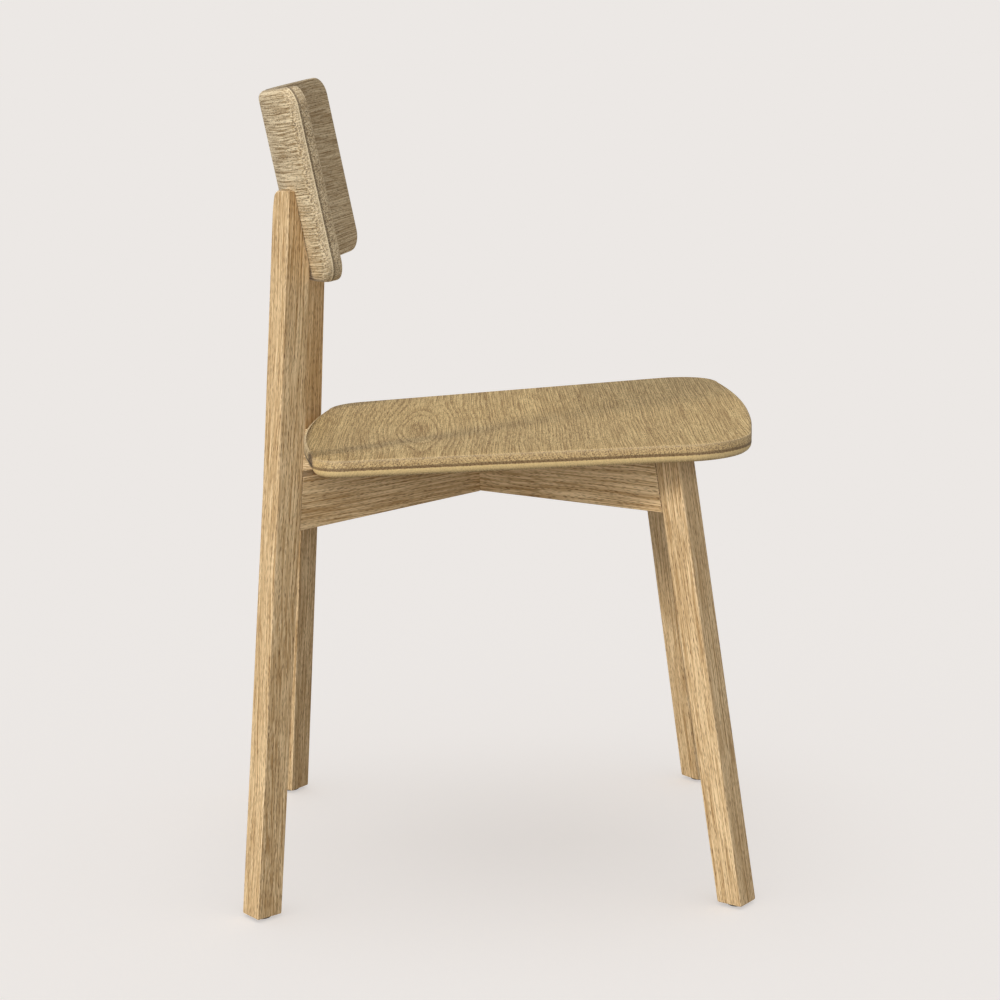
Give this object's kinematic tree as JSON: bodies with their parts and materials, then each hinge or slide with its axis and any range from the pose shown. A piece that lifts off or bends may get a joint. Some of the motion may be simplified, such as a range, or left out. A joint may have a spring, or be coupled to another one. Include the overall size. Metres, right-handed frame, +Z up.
{
  "type": "dining chair",
  "caption": "Wooden dining chair with a curved backrest, a moulded seat and splayed square legs turned to the corners on crossed rails.",
  "frame": {"origin": "on the floor, at the middle of the bounding box's base", "axes": "+Z up, +Y to the chair's rear, the chair faces -Y, +X to the sitter's left"},
  "size_m": [0.4368, 0.518, 0.8028],
  "materials": {
    "oak_solid": "clear matt oil on planed and sanded oak",
    "oak_laminated": "clear matt oil on laminated oak with thick face veneers",
    "beech": "plain turned or moulded beech, glued in",
    "steel": "zinc plated",
    "brass": "plain",
    "nylon": "moulded"
  },
  "bodies": {
    "root": {"leg_front_left": "oak_solid", "leg_front_right": "oak_solid", "leg_rear_left": "oak_solid", "leg_rear_right": "oak_solid", "rail_rear_left_to_front_right": "oak_solid", "rail_rear_right_to_front_left": "oak_solid", "seat": "oak_laminated", "backrest": "oak_laminated", "tenon_front_left": "beech", "seat_screw_front_left": "steel", "seat_insert_front_left": "brass", "glide_front_left": "nylon", "tenon_front_right": "beech", "seat_screw_front_right": "steel", "seat_insert_front_right": "brass", "glide_front_right": "nylon", "tenon_rear_left": "beech", "seat_screw_rear_left": "steel", "seat_insert_rear_left": "brass", "glide_rear_left": "nylon", "tenon_rear_right": "beech", "seat_screw_rear_right": "steel", "seat_insert_rear_right": "brass", "glide_rear_right": "nylon", "back_dowel_left_1": "beech", "back_dowel_left_2": "beech", "back_dowel_right_1": "beech", "back_dowel_right_2": "beech"}
  },
  "joints": []
}
